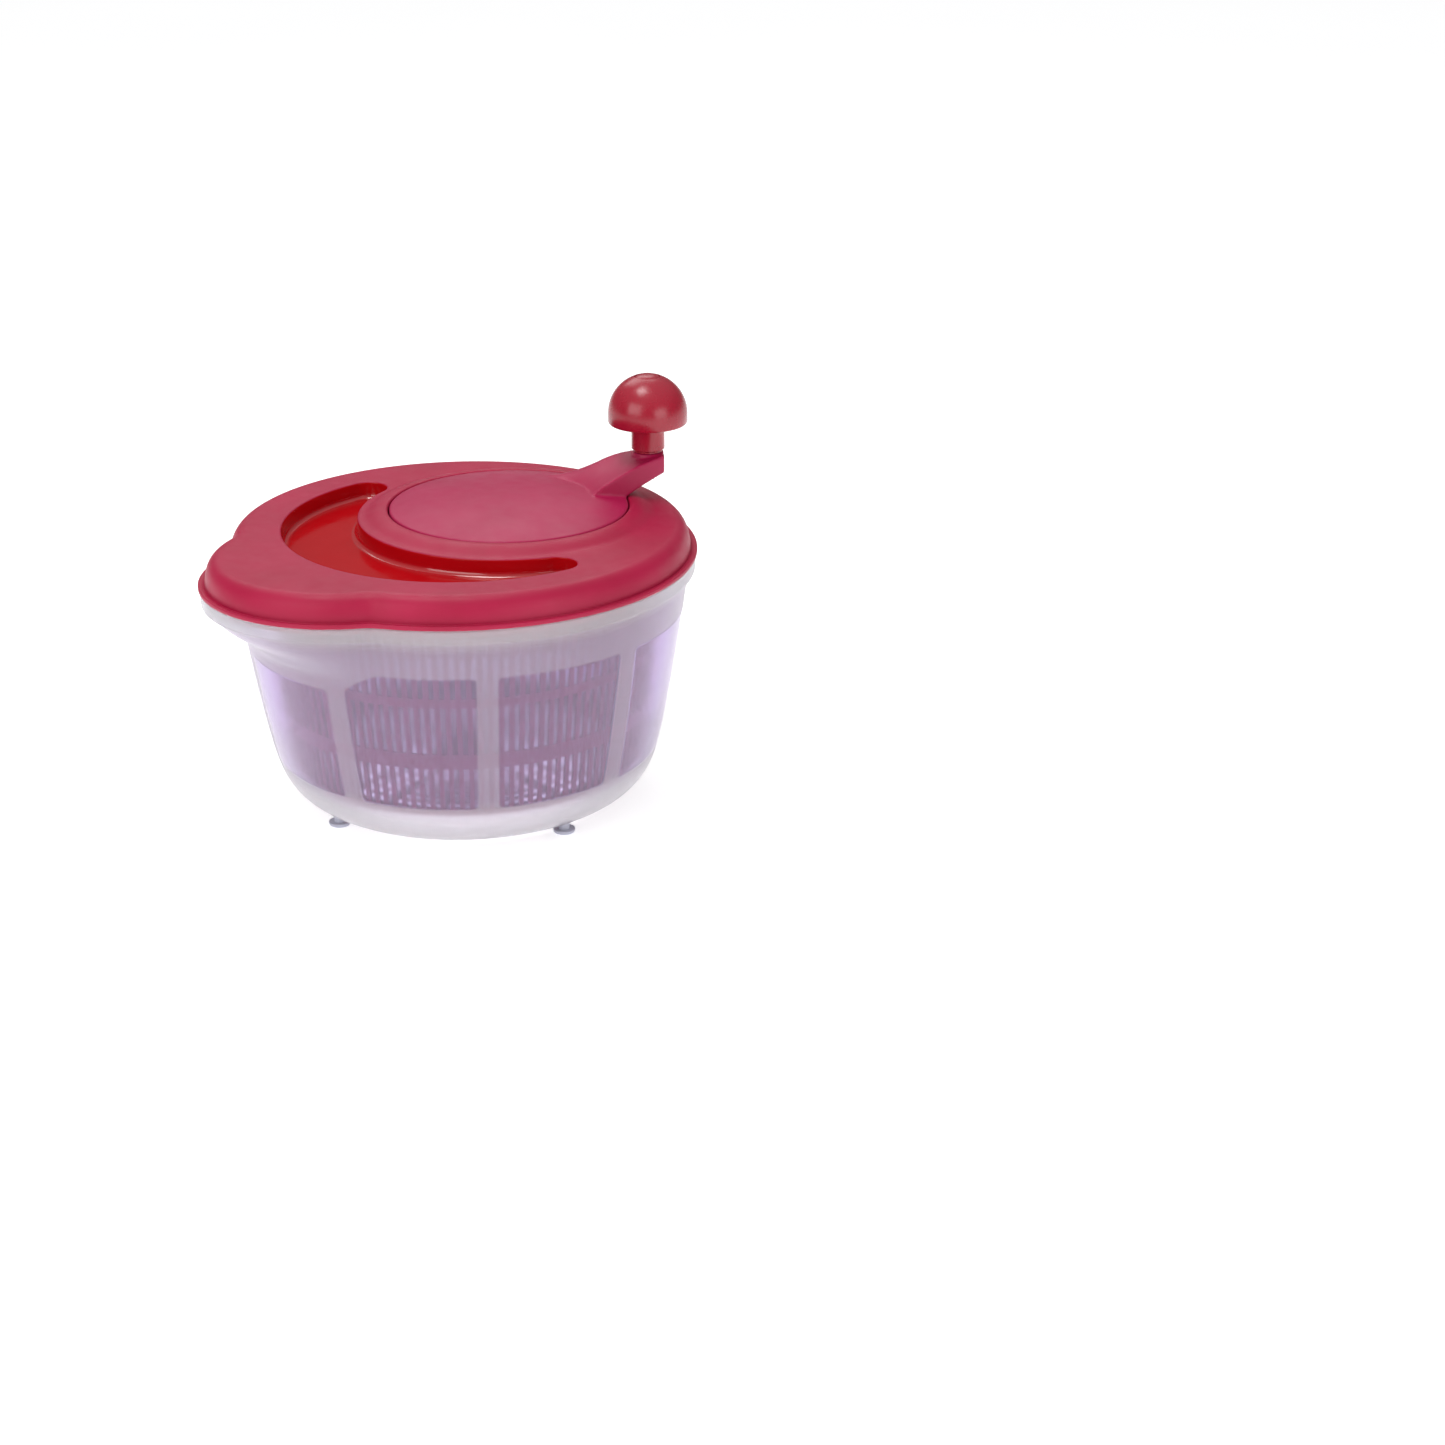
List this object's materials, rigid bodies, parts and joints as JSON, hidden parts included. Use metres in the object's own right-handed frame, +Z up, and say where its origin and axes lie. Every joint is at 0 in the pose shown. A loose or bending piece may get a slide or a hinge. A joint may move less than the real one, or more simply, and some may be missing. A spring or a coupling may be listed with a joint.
{
  "type": "salad spinner",
  "caption": "Crank-driven salad spinner: translucent bowl with a pouring spout, slotted basket and a geared lid with a crank and round knob.",
  "frame": {"origin": "on the basket's spin axis, at the height of the surface the feet stand on, 2 mm below the bowl's flat underside", "axes": "+Z up along the spin axis; -Y towards the pouring spout; +X to the right when the spout faces the viewer"},
  "size_m": [0.26, 0.2913, 0.2244],
  "materials": {
    "bowl_clear": "translucent polypropylene, frosted with polished windows",
    "lid_red": "fine matte moulded texture, glossy inside the tray",
    "basket_red": "smooth moulded",
    "gear_white": "natural acetal",
    "pin_steel": "bright stainless",
    "foot_grey": "soft grey"
  },
  "bodies": {
    "bowl": {"bowl": "bowl_clear", "pivot_pin": "pin_steel", "foot_1": "foot_grey", "foot_2": "foot_grey", "foot_3": "foot_grey", "foot_4": "foot_grey"},
    "basket": {"basket": "basket_red", "basket_cup": "gear_white"},
    "lid": {"lid": "lid_red", "crank_bush": "gear_white", "pinion_bush": "gear_white"},
    "crank": {"crank": "lid_red", "ring_gear": "gear_white", "crank_washer": "pin_steel", "crank_screw": "pin_steel", "knob_pin": "pin_steel"},
    "knob": {"knob": "lid_red", "knob_cap": "lid_red", "knob_washer": "lid_red"},
    "rotor": {"pinion": "gear_white", "retaining_clip": "pin_steel", "strainer_plate": "basket_red"}
  },
  "joints": [
    {"name": "basket_spin", "type": "hinge", "parent": "bowl", "child": "basket", "pos_m": [0, 0, 0.02], "axis": [0, 0, 1], "continuous": true},
    {"name": "lid_lift", "type": "slide", "parent": "bowl", "child": "lid", "axis": [0, 0, 1], "range_m": [0, 0.15]},
    {"name": "crank_spin", "type": "hinge", "parent": "lid", "child": "crank", "pos_m": [0, 0.033, 0.15], "axis": [0, 0, 1], "continuous": true},
    {"name": "rotor_spin", "type": "hinge", "parent": "lid", "child": "rotor", "pos_m": [0, 0, 0.145], "axis": [0, 0, 1], "continuous": true},
    {"name": "knob_spin", "type": "hinge", "parent": "crank", "child": "knob", "pos_m": [0.02212, 0.11497, 0.2], "axis": [0, 0, 1], "continuous": true}
  ],
  "couplings": [
    {"joint": "rotor_spin", "follows": "crank_spin", "ratio": 4},
    {"joint": "basket_spin", "follows": "crank_spin", "ratio": 4}
  ]
}
